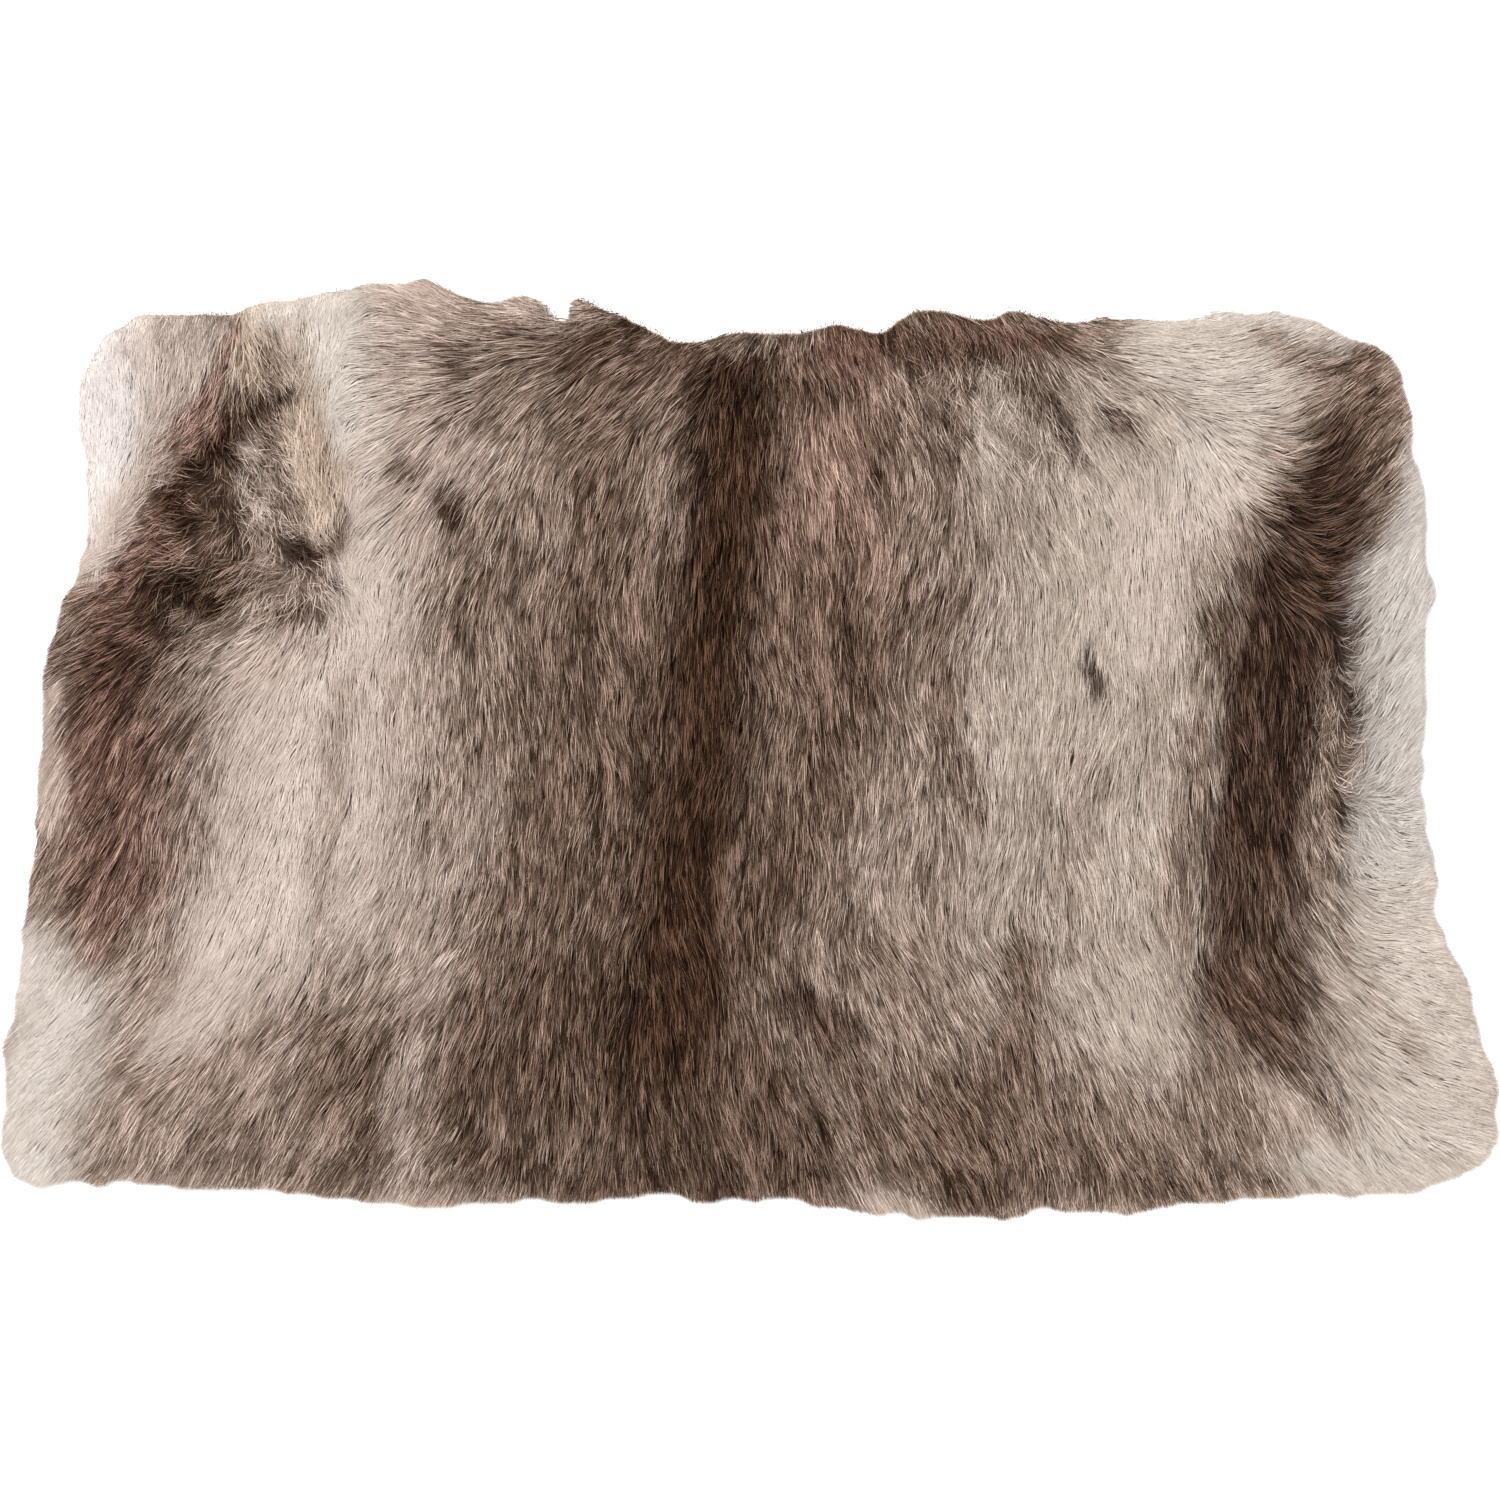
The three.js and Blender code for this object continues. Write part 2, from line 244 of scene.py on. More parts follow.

# Markings, painted in this order: tone, strength, and a path of (x, y, half width) in mm
# Most markings are the coat's own colours; the creases, folds, pits, dimple and crest shadow marked below
# are painted shade
MARKINGS = {
    "left saddle": ("saddle brown", 0.84, (-68, 172, 24), (-66, 110, 18), (-66, 50, 35), (-75, -22, 36),
        (-82, -92, 32)),
    "right shoulder": ("tan", 0.85, (30, 168, 26), (32, 100, 28), (32, 40, 24)),
    "right loin": ("saddle brown", 0.96, (34, 66, 22), (31, 20, 25), (24, -30, 20), (4, -84, 9)),
    "left shoulder": ("sand", 0.72, (-151, 189, 20), (-138, 130, 21), (-150, 84, 13)),
    "left pale band": ("cream", 0.97, (-172, 170, 8), (-168, 140, 9), (-166, 95, 10), (-166, 55, 20),
        (-192, 10, 38), (-195, -50, 42), (-212, -86, 26)),
    "cream column": ("straw", 0.92, (-188, 196, 13), (-190, 140, 13), (-186, 95, 9)),
    "right pale band": ("grey cream", 0.96, (160, 128, 34), (150, 60, 44), (142, -10, 50), (145, -74, 47),
        (170, -122, 22)),
    "right pale core": ("cream", 0.7, (178, 100, 14), (174, 50, 13)),
    "right waist": ("taupe", 0.45, (142, -10, 18), (136, -80, 22)),
    "right rib light": ("grey cream", 0.7, (108, 158, 8), (104, 114, 13)),
    "right fan": ("warm cream", 0.92, (176, 174, 15), (214, 166, 25), (200, 118, 20)),
    "right fan foot": ("cream", 0.9, (196, 102, 14), (210, 114, 9)),
    "left thigh": ("thigh tan", 0.92, (-264, -106, 18), (-228, -124, 28), (-262, -166, 34)),
    "left pale foot": ("cream", 0.9, (-228, -74, 14), (-232, -106, 15), (-256, -128, 9)),
    "left hip": ("mid brown", 0.8, (-190, -118, 8), (-175, -146, 16), (-169, -168, 13)),
    "rump": ("rump brown", 0.9, (-119, -112, 8), (-116, -146, 22), (-78, -140, 44), (-24, -160, 46),
        (18, -182, 26)),
    "right hip": ("mid brown", 0.88, (120, -92, 10), (118, -146, 13), (84, -170, 28), (124, -188, 10)),
    "far hip": ("mid brown", 0.75, (122, -166, 9), (156, -184, 9), (200, -192, 9)),
    "right hip rim": ("rump brown", 0.85, (84, -192, 7), (104, -196, 10)),
    "rump rim": ("rump brown", 0.8, (-120, -174, 10), (-98, -184, 8), (-60, -194, 9), (-4, -197, 8)),
    "left rib light": ("sand", 0.5, (-116, -22, 9), (-124, -46, 10), (-141, -64, 9), (-143, -104, 10)),
    "left waist light": ("sand", 0.45, (-142, 30, 13), (-152, -6, 8)),
    "left rib top": ("fawn", 0.6, (-92, 118, 8), (-88, 92, 9)),
    "left band head": ("sand", 0.85, (-200, 42, 11), (-214, 38, 10)),
    "left band streak": ("fawn", 0.5, (-170, 30, 6), (-186, -20, 5), (-184, -104, 4)),
    "loin streak": ("taupe", 0.85, (192, 4, 5), (189, -26, 9), (184, -76, 8)),
    "spine skirt": ("rump brown", 0.52, (-10, 178, 28), (-12, 100, 26), (-28, 40, 30), (-32, -50, 31),
        (-36, -110, 36)),
    "spine": ("spine brown", 1.0, (-9, 180, 18), (-7, 130, 17), (-9, 100, 19), (-17, 50, 21),
        (-21, 0, 23), (-25, -50, 26), (-27, -100, 27), (-36, -122, 27)),
    "left flank": ("elbow brown", 0.97, (-269, 52, 21), (-278, 32, 26), (-276, 4, 21)),
    "left flank end": ("pale russet", 0.9, (-281, -60, 20), (-283, -84, 10)),
    "left flank lower": ("russet", 0.92, (-274, -8, 25), (-275, -44, 23)),
    "left rim tips": ("sand", 0.9, (-306, 30, 4), (-305, 4, 6), (-302, -28, 8)),
    "whorl ground": ("mid brown", 0.92, (-230, 142, 14), (-222, 116, 17), (-226, 92, 16), (-229, 68, 10)),
    "left elbow": ("russet", 0.95, (-236, 138, 9), (-246, 112, 13), (-258, 90, 16), (-276, 68, 15)),
    "whorl fringe": ("sand", 0.72, (-217, 132, 5), (-211, 114, 9), (-212, 98, 6)),
    "whorl tuft": ("thigh tan", 0.8, (-199, 84, 14), (-202, 64, 15)),
    "tan tuft edge": ("straw", 0.9, (-217, 188, 8), (-215, 164, 6)),
    "tan tuft": ("fawn", 0.75, (-206, 180, 5), (-201, 168, 8)),
    "cream column head": ("soft white", 0.92, (-218, 192, 9), (-182, 200, 16), (-177, 164, 13),
        (-177, 136, 7)),
    "right flank": ("dark brown", 1.0, (263, 146, 6), (251, 116, 16), (248, 88, 24), (233, 56, 31),
        (225, 16, 22), (218, -50, 20), (220, -104, 24)),
    "right flank end": ("flank brown", 0.8, (220, -112, 20), (248, -144, 7), (259, -170, 7)),
    "right corner": ("mid brown", 0.85, (262, 172, 12), (272, 150, 10), (270, 122, 7)),
    "fan rim": ("soft white", 0.85, (176, 191, 6), (226, 191, 7), (258, 182, 7)),
    "left belly blush": ("blush", 0.9, (-264, 190, 16), (-250, 176, 16), (-264, 136, 10)),
    "left belly": ("white", 0.98, (-292, 184, 20), (-285, 132, 20), (-282, 110, 14), (-290, 86, 11)),
    "left belly veil": ("fawn", 0.6, (-246, 190, 13), (-250, 170, 11), (-259, 134, 10)),
    "left belly streak": ("pale russet", 0.85, (-223, 184, 2), (-226, 168, 3), (-240, 144, 6),
        (-257, 122, 7)),
    "elbow fringe": ("sand", 0.75, (-258, 122, 6), (-270, 104, 8), (-288, 78, 8)),
    "left groin": ("soft white", 0.98, (-318, -92, 16), (-298, -112, 20), (-310, -140, 22),
        (-318, -184, 22)),
    "right belly": ("belly white", 0.98, (290, 134, 5), (292, 108, 11), (286, 60, 22), (283, 0, 21),
        (284, -50, 24)),
    "right groin": ("warm cream", 0.98, (286, -86, 31), (298, -138, 38), (300, -172, 34), (242, -184, 9)),
    "groin streak": ("fawn", 0.5, (268, -104, 5), (288, -130, 6)),
    "groin light": ("sand", 0.75, (226, -148, 7), (239, -165, 9)),
    # Painted shade in a fold of the groin
    "groin fold": ("taupe", 0.75, (253, -158, 5), (260, -172, 6)),
    "parting fringe": ("fawn", 0.85, (259, 26, 5), (258, -10, 6), (257, -40, 5)),
    "neck rim": ("sand", 0.6, (-150, 200, 8), (-104, 195, 7), (-62, 188, 5)),
    "left neck edge": ("rust brown", 0.55, (-72, 184, 12), (-36, 172, 14)),
    "right neck edge": ("rust brown", 0.92, (20, 172, 8), (84, 180, 14), (132, 178, 8)),
    # Painted shade: the whorl's and elbow's creases, the elbow fold and the elbow pit are darkened where
    # shade falls in them
    "whorl crease": ("spine brown", 0.9, (-201, 154, 4), (-222, 142, 5), (-238, 122, 5)),
    "elbow crease": ("spine brown", 0.95, (-260, 65, 5), (-248, 69, 7), (-234, 60, 6)),
    "elbow fold": ("spine brown", 0.8, (-245, 75, 4), (-238, 82, 4)),
    "elbow pit": ("spine brown", 0.95, (-253, 106, 5), (-244, 98, 5)),
    "tuft core": ("spine brown", 0.9, (-203, 87, 3), (-197, 84, 5), (-189, 88, 4), (-183, 92, 4)),
    # Painted shade: dark pits along the right parting, where shade falls in the groove
    "right parting pits": ("dark brown", 0.85, (262, 24, 3), (261, 8, 3)),
    "lower parting pits": ("dark brown", 0.85, (259, -20, 3), (261, -32, 3)),
    "upper parting pits": ("dark brown", 0.85, (258, 46, 2.5), (260, 36, 2.5)),
    "tuft crescent": ("spine brown", 0.75, (-177, 104, 2.5), (-180, 88, 3.5), (-178, 72, 3)),
    "tuft foot": ("flank brown", 0.9, (-203, 56, 4), (-190, 55, 5)),
    # Painted shade in a pit of the whorl
    "whorl pit": ("dark brown", 0.85, (-225, 128, 4), (-219, 122, 4)),
    "left hip streak": ("sand", 0.5, (-148, -128, 6), (-156, -198, 7)),
    "left hip shade": ("rump brown", 0.8, (-161, -126, 3), (-166, -146, 4)),
    "shoulder shade": ("mid brown", 0.8, (60, 142, 4), (56, 112, 6)),
    "rib shade": ("mid brown", 0.8, (72, 78, 6), (60, 48, 6)),
    "rib shade low": ("saddle brown", 0.75, (82, 60, 7), (80, 24, 9), (97, -26, 9)),
    "shoulder head": ("rump brown", 0.8, (12, 165, 8), (26, 150, 9), (44, 158, 7)),
    "loin shade": ("rump brown", 0.7, (45, 62, 4), (45, 30, 5)),
    # Painted shadow cast by a crest of the coat
    "left dark spot": ("spine brown", 0.95, (-134, 110, 5), (-129, 98, 6)),
    "left small spot": ("flank brown", 0.75, (-153, 122, 4), (-146, 117, 5)),
    # Painted shade in a dimple of the coat
    "right dark spot": ("dark brown", 0.85, (148, 38, 2.5), (149, 28, 4)),
    "hip spot": ("dark brown", 0.9, (18, -107, 7), (42, -122, 8)),
    "hip shade": ("rump brown", 0.8, (30, -126, 6), (49, -150, 7), (55, -166, 6)),
    "rump shade": ("rump brown", 0.8, (2, -126, 6), (12, -158, 7)),
    # Painted shade in a fold of the hip
    "hip fold": ("rump brown", 0.7, (82, -150, 5), (92, -174, 6)),
    "left rib shade": ("saddle brown", 0.6, (-124, 56, 8), (-114, 70, 8)),
    "saddle shade": ("rump brown", 0.6, (-83, -16, 6), (-91, -34, 8)),
    "left rim light": ("sand", 0.7, (-148, -199, 5), (-126, -199, 5)),
    "fan edge": ("cream", 0.7, (241, 152, 6), (237, 138, 5)),
    "thigh shade": ("mid brown", 0.6, (-238, -168, 8), (-222, -158, 8)),
    "loin light": ("sand", 0.4, (56, -44, 12), (62, -66, 10)),
    # Painted shade in the pit at the lower end of the right parting
    "parting foot": ("mid brown", 0.7, (256, -74, 4), (258, -88, 4)),
    "right flank light": ("mid brown", 0.35, (220, -60, 12), (224, -96, 14)),
    "neck fringe shade": ("flank brown", 0.85, (70, 177, 4), (98, 177, 5)),
    "neck fan shade": ("mid brown", 0.65, (-136, 174, 7), (-130, 146, 6)),
    "fan shade": ("fawn", 0.85, (226, 178, 6), (236, 168, 8)),
    "rim light": ("sand", 0.85, (54, -199, 8), (76, -203, 8)),
    "neck roots": ("fawn", 0.85, (-46, 182, 5), (-12, 182, 7), (24, 181, 8)),
    "right neck rim": ("fawn", 0.6, (70, 189, 4), (112, 189, 4), (160, 187, 6)),
    "neck tangle": ("flank brown", 0.6, (100, 172, 6), (128, 152, 5), (142, 128, 4)),
    "shoulder tangle": ("flank brown", 0.8, (156, 142, 5), (164, 138, 5)),
    "right flank tip": ("mid brown", 0.85, (197, 62, 4), (198, 48, 8)),
}
# How sharply a marking ends at its half width
MARK_SHARPNESS = 3.0
SHARP_MARKINGS = {
    "right fan": 7.0, "right flank": 7.0, "left belly": 5.0, "right belly": 5.0,
    "left groin": 4.0, "left belly streak": 4.0,
}

# Small cuts into the outline: a path of (x, y, half width) in mm
NOTCHES = {
    "left neck": [(-83, 208, 7.5), (-82.5, 194, 4.2), (-80.5, 187.5, 2.0)],
}
NOTCH_MARGIN = 5.0
NOTCH_SKIN_INSET = 10.0

# Comb strokes from root to tip, each a path of (x, y) in mm
COMB_STROKES = {
    "spine": [(0, 176), (-8, 120), (-14, 60), (-18, 0), (-24, -60), (-22, -110), (-14, -160), (-8, -196)],
    "left of spine": [(-30, 168), (-45, 140), (-58, 100), (-60, 0), (-66, -50), (-72, -100), (-84, -194)],
    "left back": [(-70, 165), (-85, 140), (-97, 110), (-104, 60), (-103, -60), (-120, -110), (-160, -190)],
    "left shoulder": [(-100, 168), (-122, 146), (-140, 122), (-158, 100), (-168, 80)],
    "left ribs": [(-130, 95), (-140, 65), (-142, 20), (-140, -40), (-148, -85), (-172, -120), (-215, -190)],
    "neck fan level": [(-95, 175), (-125, 176), (-171, 173)],
    "neck fan upper": [(-90, 182), (-120, 190), (-152, 201)],
    "neck fan lower": [(-100, 172), (-130, 165), (-178, 150)],
    "neck fan lowest": [(-105, 168), (-135, 150), (-170, 130)],
    "left neck edge": [(-60, 190), (-80, 188), (-105, 194)],
    "neck middle": [(-2, 188), (-22, 170), (-42, 156), (-62, 140)],
    "neck middle left": [(-42, 178), (-64, 172), (-85, 158)],
    "cream column": [(-190, 192), (-190, 140), (-188, 90), (-178, 50)],
    "cream column edge": [(-178, 190), (-184, 164), (-182, 130), (-178, 100)],
    "left side": [(-172, 50), (-180, 10), (-188, -40), (-196, -90), (-222, -140), (-250, -180)],
    "left flank inner": [(-185, 55), (-200, 30), (-215, -5), (-225, -50), (-240, -95), (-268, -130),
        (-300, -165)],
    "left flank middle": [(-205, 60), (-230, 35), (-250, 0), (-265, -45), (-285, -80), (-312, -115)],
    "left flank outer": [(-230, 62), (-262, 38), (-285, 10), (-304, -15)],
    "left flank top": [(-250, 70), (-275, 52), (-300, 34)],
    "left flank rim": [(-255, 10), (-280, -25), (-304, -60)],
    "left groin": [(-270, -95), (-295, -125), (-322, -150)],
    "left thigh": [(-240, -120), (-275, -150), (-300, -180)],
    "left belly rim": [(-284, 182), (-281, 140), (-282, 98)],
    "left belly": [(-268, 186), (-266, 150), (-270, 120)],
    "left belly inner": [(-250, 188), (-252, 160), (-262, 135)],
    "brown streak": [(-226, 186), (-231, 162), (-250, 134), (-266, 106)],
    "brown fringe": [(-240, 120), (-256, 106), (-276, 92)],
    "elbow": [(-234, 98), (-254, 86), (-278, 74)],
    "tan tuft": [(-220, 186), (-208, 168), (-198, 148)],
    "whorl right": [(-212, 142), (-200, 124), (-193, 104)],
    "whorl inner": [(-224, 128), (-212, 110), (-200, 88)],
    "tuft left": [(-199, 78), (-212, 73), (-226, 62)],
    "tuft right": [(-193, 78), (-180, 70), (-172, 56)],
    "tuft foot": [(-196, 73), (-200, 58), (-206, 44)],
    "right of spine": [(14, 170), (14, 120), (22, 60), (24, 10), (30, -40), (26, -80), (38, -120),
        (72, -196)],
    "right back": [(40, 165), (50, 130), (52, 95), (46, 60), (48, 10), (50, -40), (48, -80), (70, -125),
        (98, -200)],
    "right rib hollow": [(60, 172), (70, 145), (74, 110), (68, 80), (62, 40), (70, 0), (66, -50)],
    "right ribs": [(90, 165), (96, 130), (98, 80), (92, 40), (100, -40), (98, -80), (116, -120),
        (134, -198)],
    "right shoulder inner": [(112, 165), (122, 130), (128, 90), (128, -50), (134, -95), (156, -135),
        (178, -196)],
    "right shoulder": [(130, 168), (148, 140), (160, 105), (158, -20), (162, -80), (184, -130),
        (205, -175)],
    "right side": [(140, 175), (168, 158), (182, 135), (190, 50), (188, -20), (196, -90), (218, -140),
        (240, -185)],
    "right flank inner": [(190, 140), (204, 115), (216, 85), (222, 40), (222, -20), (226, -80),
        (268, -175)],
    "right fan top": [(150, 178), (185, 176), (215, 184), (240, 190)],
    "right fan upper": [(165, 164), (200, 162), (228, 170), (250, 182)],
    "right fan level": [(190, 152), (222, 150), (245, 156), (268, 172)],
    "right fan lower": [(205, 135), (232, 127), (248, 131), (272, 154)],
    "parting upper": [(215, 112), (238, 102), (251, 108), (280, 136)],
    "parting middle": [(225, 92), (244, 82), (257, 89), (286, 118)],
    "parting lower": [(232, 72), (248, 64), (261, 72), (291, 102)],
    "right belly upper": [(262, 42), (272, 58), (291, 86)],
    "right belly": [(262, 12), (272, 28), (291, 58)],
    "right belly lower": [(262, -15), (275, 0), (292, 22)],
    "right flank rim": [(245, 60), (249, 40), (250, 5)],
    "right loin": [(240, 0), (246, -25), (260, -45), (282, -52), (297, -46)],
    "right thigh upper": [(232, -30), (242, -60), (262, -80), (294, -86)],
    "right thigh": [(228, -70), (244, -100), (270, -120), (313, -130)],
    "right thigh lower": [(232, -110), (256, -140), (285, -158), (322, -168)],
    "right groin": [(225, -140), (245, -170), (262, -190)],
    "right groin rim": [(262, -150), (285, -175), (300, -187)],
}
COMB_STEP = 6.0
COMB_SOFTNESS = 5.0
COMB_WAVE = 6.0
WAVE_SPREAD = 9.0

# Places from which the hair radiates all round: x, y, radius in mm
RADIAL_TUFTS = {
    "whorl tuft": (-198, 81, 15),
    "tuft foot": (-192, 60, 9),
    "mound": (-231, 120, 15),
    "mound foot": (-242, 96, 12),
    "elbow fold": (-250, 72, 12),
    "tan tuft": (-206, 156, 10),
    "right whorl": (260, 14, 9),
    "right whorl below": (259, -24, 8),
    "right whorl end": (258, -46, 8),
}
RADIAL_SHARE = 0.75
RADIAL_SWAY = 32.0
SWAY_SPREAD = 4.0
TUFT_MIDDLE = 7.0

# Places where the hair stands up and tangles: x, y, radius in mm, share of upright and of disorder
TUFTS = {
    "left whorl": (-222, 116, 32, 0.60, 0.85),
    "whorl tuft": (-198, 78, 18, 0.60, 0.95),
    "tan tuft": (-206, 168, 14, 0.40, 0.60),
    "elbow": (-246, 74, 20, 0.45, 0.75),
    "right whorl": (258, 12, 12, 0.70, 0.90),
    "right whorl below": (258, -22, 12, 0.50, 0.80),
    "right seam upper": (256, 40, 9, 0.60, 0.75),
    "right seam lower": (257, -42, 9, 0.50, 0.70),
    "right neck tangle": (90, 172, 26, 0.45, 0.70),
    "right shoulder tangle": (128, 146, 22, 0.30, 0.55),
    "neck middle": (0, 176, 20, 0.35, 0.40),
}


def to_linear(tone):
    """Linear colour of an sRGB tone given from 0 to 255."""
    share = np.asarray(tone, dtype=float) / 255
    return np.where(share <= 0.04045, share / 12.92, ((share + 0.055) / 1.055) ** 2.4)


def blur(field, radius):
    """The field averaged with a bell curve of radius plan steps."""
    reach = max(1, math.ceil(3 * radius))
    weights = np.exp(-0.5 * (np.arange(-reach, reach + 1) / radius) ** 2)
    weights /= weights.sum()
    for axis in (0, 1):
        padding = [(0, 0)] * field.ndim
        padding[axis] = (reach, reach)
        padded = np.pad(field, padding, mode="edge")
        size = field.shape[axis]
        field = sum(w * np.take(padded, range(k, k + size), axis) for k, w in enumerate(weights))
    return field


def unit(way):
    """Directions made one long."""
    return way / np.maximum(np.linalg.norm(way, axis=-1, keepdims=True), TINY)


class Plan:
    """A flat grid over the hide that holds the coat's height, comb and colour."""

    def __init__(self, box):
        low, high = np.array(box)[:, :2] / MM
        ends = zip(low - PLAN_MARGIN, high + PLAN_MARGIN + PLAN_STEP)
        self.x, self.y = [np.arange(start, end, PLAN_STEP) for start, end in ends]
        self.across, self.up = np.meshgrid(self.x, self.y)
        self.corner = (self.x[0], self.y[0])

    def cell(self, places):
        """Row and column of the grid's place nearest to each (x, y)."""
        column, row = np.round((places - self.corner) / PLAN_STEP).astype(int).T
        return np.clip(row, 0, len(self.y) - 1), np.clip(column, 0, len(self.x) - 1)


def at(field, places):
    """A field's value at each place of a list of (x, y), blended between the plan's own places."""
    spot = (places - plan.corner) / PLAN_STEP
    spot = np.clip(spot, 0, (len(plan.x) - 1.001, len(plan.y) - 1.001))
    column, row = spot.astype(int).T
    right, up = (spot % 1).T
    if field.ndim == 3:
        right, up = right[:, None], up[:, None]
    low = field[row, column] * (1 - right) + field[row, column + 1] * right
    high = field[row + 1, column] * (1 - right) + field[row + 1, column + 1] * right
    return low * (1 - up) + high * up


def read_solid(node):
    """Reads the coat's height and the distance to its edge off the solid."""
    mesh = node.data
    corners = [vertex.co for vertex in mesh.vertices]
    tree = BVHTree.FromPolygons(corners, [tuple(face.vertices) for face in mesh.polygons])
    top = np.zeros(plan.across.shape)
    down = Vector((0, 0, -1))
    for (row, column), x in np.ndenumerate(plan.across):
        hit = tree.ray_cast(Vector((x * MM, plan.up[row, column] * MM, RAY_HEIGHT * MM)), down)[0]
        if hit is not None:
            top[row, column] = hit.z / MM
    footprint = top > 0
    footprint[plan.cell(np.array(corners)[:, :2] / MM)] = True
    plan.height = blur(top, RELIEF_SOFTNESS / PLAN_STEP)
    swollen = edge_distance(footprint) > -LOCK_GAP
    plan.rim = blur(edge_distance(swollen) - LOCK_GAP, RIM_SOFTNESS / PLAN_STEP)
    plan.inset = plan.rim
    plan.notched = np.zeros(plan.across.shape)
    for path in NOTCHES.values():
        for distance, width in along_path(path):
            plan.inset = np.minimum(plan.inset, distance - width)
            plan.notched = np.maximum(plan.notched, np.exp2(-(distance / (width + NOTCH_MARGIN)) ** 4))
    down_slope, across_slope = np.gradient(plan.rim)
    plan.outward = unit(np.stack([-across_slope, -down_slope], axis=2))


def edge_distance(inside):
    """Distance to the edge of the inside places, below 0 outside."""
    change = np.zeros(inside.shape, dtype=bool)
    change[:, 1:] |= inside[:, 1:] != inside[:, :-1]
    change[1:, :] |= inside[1:, :] != inside[:-1, :]
    edge = np.argwhere(change)
    tree = KDTree(len(edge))
    for index, (row, column) in enumerate(edge):
        tree.insert((plan.x[column] - PLAN_STEP / 2, plan.y[row] - PLAN_STEP / 2, 0), index)
    tree.balance()
    distance = np.zeros(inside.shape)
    for (row, column), x in np.ndenumerate(plan.across):
        distance[row, column] = tree.find((x, plan.up[row, column], 0))[2]
    return np.where(inside, distance, -distance)


def levelled(field, spread):
    """The field blurred over a spread in mm, with mean 0 and deviation 1."""
    field = blur(field, spread / PLAN_STEP)
    return (field - field.mean()) / field.std()


def drift(spread):
    """A slowly changing field."""
    return levelled(rng.normal(size=plan.across.shape), spread)


def lay_comb():
    """Blends the comb strokes into one direction at each place, and sways it a little."""
    total = np.zeros(plan.across.shape + (2,))
    for path in COMB_STROKES.values():
        for start, end in zip(path, path[1:]):
            run = np.subtract(end, start).astype(float)
            length = np.hypot(*run)
            steps = max(1, round(length / COMB_STEP))
            for share in (np.arange(steps) + 0.5) / steps:
                x, y = start + run * share
                square = (plan.across - x) ** 2 + (plan.up - y) ** 2 + COMB_SOFTNESS ** 2
                total += (run / length) / square[..., None] ** 2
    total /= np.linalg.norm(total, axis=2, keepdims=True)
    for x, y, radius in RADIAL_TUFTS.values():
        away = np.stack([plan.across - x, plan.up - y], axis=2)
        distance = np.maximum(np.linalg.norm(away, axis=2, keepdims=True), PLAN_STEP)
        share = RADIAL_SHARE * np.exp2(-(distance / radius) ** 3)
        share *= 1 - np.exp2(-(distance / TUFT_MIDDLE) ** 2)
        sway = np.radians(RADIAL_SWAY) * drift(SWAY_SPREAD)
        swayed = turned((away / distance).reshape(-1, 2), sway.ravel())
        total = total * (1 - share) + swayed.reshape(total.shape) * share
    sway = np.radians(COMB_WAVE) * drift(WAVE_SPREAD)
    plan.comb = unit(turned(total.reshape(-1, 2), sway.ravel()).reshape(total.shape))


def along_path(path):
    """Distance to each part of a path of (x, y, half width), and the half width there."""
    for (x0, y0, w0), (x1, y1, w1) in zip(path, path[1:]):
        run_x, run_y = x1 - x0, y1 - y0
        share = ((plan.across - x0) * run_x + (plan.up - y0) * run_y) / (run_x ** 2 + run_y ** 2)
        share = np.clip(share, 0, 1)
        distance = np.hypot(plan.across - x0 - share * run_x, plan.up - y0 - share * run_y)
        yield distance, w0 + share * (w1 - w0)


def path_cover(path, sharpness):
    """How strongly a soft path covers each place: 1 on it, a half at its half width."""
    cover = np.zeros(plan.across.shape)
    for distance, width in along_path(path):
        cover = np.maximum(cover, np.exp2(-(distance / width) ** sharpness))
    return cover


def paint_markings():
    """Paints the coat's markings over its usual taupe, in linear colour, painted shade of creases, folds,
    pits, a dimple and a crest's shadow among them.
    """
    coat = np.tile(to_linear(TONES["taupe"]), plan.across.shape + (1,))
    for name, (tone, strength, *path) in MARKINGS.items():
        sharpness = SHARP_MARKINGS.get(name, MARK_SHARPNESS)
        share = (strength * path_cover(path, sharpness))[..., None]
        coat = coat * (1 - share) + to_linear(TONES[tone]) * share
    plan.coat = coat


def set_tufts():
    """Marks how upright and how tangled the hair is at each place."""
    plan.upright = np.zeros(plan.across.shape)
    plan.disorder = np.zeros(plan.across.shape)
    for x, y, radius, upright, disorder in TUFTS.values():
        cover = np.exp2(-((plan.across - x) ** 2 + (plan.up - y) ** 2) / radius ** 2)
        plan.upright = np.maximum(plan.upright, upright * cover)
        plan.disorder = np.maximum(plan.disorder, disorder * cover)


def streaks(count, length, spread):
    """A field of uneven streaks that follow the comb."""
    places = np.stack([rng.uniform(*axis[[0, -1]], count) for axis in (plan.x, plan.y)], axis=1)
    strength = rng.normal(size=count)
    steps = np.round(rng.uniform(*STREAK_RANGE, count) * length / PLAN_STEP).astype(int)
    field = np.zeros(plan.across.shape)
    for step in range(steps.max()):
        going = step < steps
        np.add.at(field, plan.cell(places[going]), strength[going])
        places = places + at(plan.comb, places) * PLAN_STEP
    return levelled(field, spread)


def turned(way, angle):
    """Directions turned anticlockwise by an angle in radians."""
    cos, sin = np.cos(angle), np.sin(angle)
    return np.stack([way[:, 0] * cos - way[:, 1] * sin, way[:, 0] * sin + way[:, 1] * cos], axis=1)


